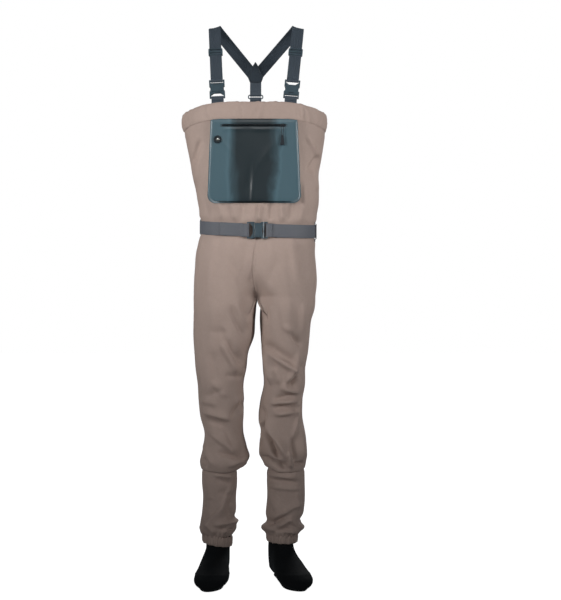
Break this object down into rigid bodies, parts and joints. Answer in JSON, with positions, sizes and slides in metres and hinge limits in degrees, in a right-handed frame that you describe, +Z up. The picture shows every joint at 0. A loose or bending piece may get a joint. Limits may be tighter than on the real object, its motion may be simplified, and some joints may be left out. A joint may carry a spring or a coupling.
{
  "type": "chest waders",
  "caption": "Stocking-foot chest waders with a zipped chest pocket, clip suspenders that meet in a Y at the back, a buckled belt and gravel guards.",
  "frame": {"origin": "on the floor, at the middle of the bounding box", "axes": "+Z up, the wearer faces -Y and the wearer's left is +X"},
  "size_m": [0.4081, 0.3228, 1.5697],
  "materials": {
    "shell_fabric": "matt coated polyester laminate",
    "loop_fabric": "narrow grosgrain",
    "elastic": "woven elastic",
    "sole_rubber": "dense textured neoprene",
    "seam_tape": "heat-sealed tape",
    "neoprene": "knit-faced neoprene",
    "belt_webbing": "woven webbing",
    "suspender_webbing": "ribbed elastic webbing",
    "buckle_plastic": "fine textured acetal",
    "ring_plastic": "moulded acetal",
    "pocket_skin": "glossy welded film on fabric",
    "zip_tape": "coated tape",
    "zip_coil": "moulded coil",
    "zip_metal": "black lacquered zinc",
    "pull_cord": "braided cord",
    "pull_grip": "moulded rubber",
    "stud_ring": "moulded ring",
    "stud_cap": "polished cap"
  },
  "bodies": {
    "garment": {"back_panel_left": "shell_fabric", "back_panel_right": "shell_fabric", "belt_buckle_female": "buckle_plastic", "belt_end": "belt_webbing", "belt_loops": "loop_fabric", "belt_webbing": "belt_webbing", "bootie_left": "neoprene", "bootie_right": "neoprene", "bootie_seam_tapes": "seam_tape", "bootie_sole_left": "sole_rubber", "bootie_sole_right": "sole_rubber", "chest_hem": "shell_fabric", "chest_hem_elastic": "elastic", "crotch_gusset": "shell_fabric", "front_panel_left": "shell_fabric", "front_panel_right": "shell_fabric", "front_strap_left": "suspender_webbing", "front_strap_right": "suspender_webbing", "gravel_guard_left": "shell_fabric", "gravel_guard_right": "shell_fabric", "guard_elastics": "elastic", "guard_hem_left": "shell_fabric", "guard_hem_right": "shell_fabric", "inner_leg_left": "shell_fabric", "inner_leg_right": "shell_fabric", "leg_back_left": "shell_fabric", "leg_back_right": "shell_fabric", "leg_front_left": "shell_fabric", "leg_front_right": "shell_fabric", "pocket_back": "pocket_skin", "pocket_front": "pocket_skin", "pocket_stud_cap": "stud_cap", "pocket_stud_ring": "stud_ring", "rear_ring": "ring_plastic", "rear_strap": "suspender_webbing", "rear_tab": "suspender_webbing", "shoulder_strap_left": "suspender_webbing", "shoulder_strap_right": "suspender_webbing", "suspender_buckle_left_female": "buckle_plastic", "suspender_buckle_right_male": "buckle_plastic", "suspender_tab_left": "suspender_webbing", "suspender_tab_right": "suspender_webbing", "yoke_patches": "suspender_webbing", "zip_coils": "zip_coil", "zip_stops": "zip_coil", "zip_tapes": "zip_tape"},
    "suspender_buckle_right_female": {"suspender_buckle_right_female": "buckle_plastic"},
    "suspender_buckle_right_arm_outer": {"suspender_buckle_right_arm_outer": "buckle_plastic"},
    "suspender_buckle_right_arm_inner": {"suspender_buckle_right_arm_inner": "buckle_plastic"},
    "strap_slider_right": {"strap_slider_right": "buckle_plastic"},
    "suspender_buckle_left_male": {"suspender_buckle_left_male": "buckle_plastic"},
    "suspender_buckle_left_arm_outer": {"suspender_buckle_left_arm_outer": "buckle_plastic"},
    "suspender_buckle_left_arm_inner": {"suspender_buckle_left_arm_inner": "buckle_plastic"},
    "strap_slider_left": {"strap_slider_left": "buckle_plastic"},
    "belt_buckle_male": {"belt_buckle_male": "buckle_plastic"},
    "belt_buckle_arm_upper": {"belt_buckle_arm_upper": "buckle_plastic"},
    "belt_buckle_arm_lower": {"belt_buckle_arm_lower": "buckle_plastic"},
    "zip_slider": {"zip_slider": "zip_metal"},
    "zip_pull": {"zip_pull_cord": "pull_cord", "zip_pull_grip": "pull_grip"}
  },
  "joints": [
    {"name": "suspender_unclip_right", "type": "slide", "parent": "garment", "child": "suspender_buckle_right_female", "axis": [-0.0565, 0.3954, 0.9168], "range_m": [0, 0.03], "deforming": ["front_strap_right", "suspender_buckle_right_arm_outer", "suspender_buckle_right_arm_inner"]},
    {"name": "suspender_buckle_right_arm_outer_squeeze", "type": "hinge", "parent": "garment", "child": "suspender_buckle_right_arm_outer", "pos_m": [-0.11743, -0.05107, 1.36866], "axis": [0, 0.9182, -0.396], "range_deg": [0, 7], "stiffness_Nm_per_rad": 0.5},
    {"name": "suspender_buckle_right_arm_inner_squeeze", "type": "hinge", "parent": "garment", "child": "suspender_buckle_right_arm_inner", "pos_m": [-0.08807, -0.05042, 1.37018], "axis": [0, -0.9182, 0.396], "range_deg": [0, 7], "stiffness_Nm_per_rad": 0.5},
    {"name": "strap_adjust_right", "type": "slide", "parent": "garment", "child": "strap_slider_right", "axis": [-0.0565, 0.3954, 0.9168], "range_m": [-0.035, 0.03]},
    {"name": "suspender_unclip_left", "type": "slide", "parent": "garment", "child": "suspender_buckle_left_male", "axis": [0.091, 0.3944, 0.9144], "range_m": [0, 0.03], "deforming": ["front_strap_left", "suspender_buckle_left_arm_outer", "suspender_buckle_left_arm_inner"]},
    {"name": "suspender_buckle_left_arm_outer_squeeze", "type": "hinge", "parent": "suspender_buckle_left_male", "child": "suspender_buckle_left_arm_outer", "pos_m": [0.11973, -0.04578, 1.38092], "axis": [0, 0.9182, -0.396], "range_deg": [0, 7], "stiffness_Nm_per_rad": 0.5},
    {"name": "suspender_buckle_left_arm_inner_squeeze", "type": "hinge", "parent": "suspender_buckle_left_male", "child": "suspender_buckle_left_arm_inner", "pos_m": [0.09046, -0.04472, 1.38338], "axis": [0, -0.9182, 0.396], "range_deg": [0, 7], "stiffness_Nm_per_rad": 0.5},
    {"name": "strap_adjust_left", "type": "slide", "parent": "garment", "child": "strap_slider_left", "axis": [0.091, 0.3944, 0.9144], "range_m": [-0.035, 0.03]},
    {"name": "belt_unclip", "type": "slide", "parent": "garment", "child": "belt_buckle_male", "axis": [-1, 0, 0], "range_m": [0, 0.03], "deforming": ["belt_end", "belt_buckle_arm_upper", "belt_buckle_arm_lower"]},
    {"name": "belt_buckle_arm_upper_squeeze", "type": "hinge", "parent": "belt_buckle_male", "child": "belt_buckle_arm_upper", "pos_m": [0.0025, -0.0756, 0.9986], "axis": [0, 1, 0], "range_deg": [0, 7], "stiffness_Nm_per_rad": 0.5},
    {"name": "belt_buckle_arm_lower_squeeze", "type": "hinge", "parent": "belt_buckle_male", "child": "belt_buckle_arm_lower", "pos_m": [0.0025, -0.0756, 0.9662], "axis": [0, -1, 0], "range_deg": [0, 7], "stiffness_Nm_per_rad": 0.5},
    {"name": "zip_slide", "type": "slide", "parent": "garment", "child": "zip_slider", "axis": [-1, 0, 0], "range_m": [0, 0.155]},
    {"name": "zip_pull_swing", "type": "hinge", "parent": "zip_slider", "child": "zip_pull", "pos_m": [0.078, -0.0927, 1.2706], "axis": [-1, 0, 0], "range_deg": [0, 150]}
  ],
  "couplings": [
    {"joint": "suspender_buckle_right_arm_inner_squeeze", "follows": "suspender_buckle_right_arm_outer_squeeze", "ratio": 1},
    {"joint": "suspender_buckle_left_arm_inner_squeeze", "follows": "suspender_buckle_left_arm_outer_squeeze", "ratio": 1},
    {"joint": "belt_buckle_arm_lower_squeeze", "follows": "belt_buckle_arm_upper_squeeze", "ratio": 1}
  ]
}
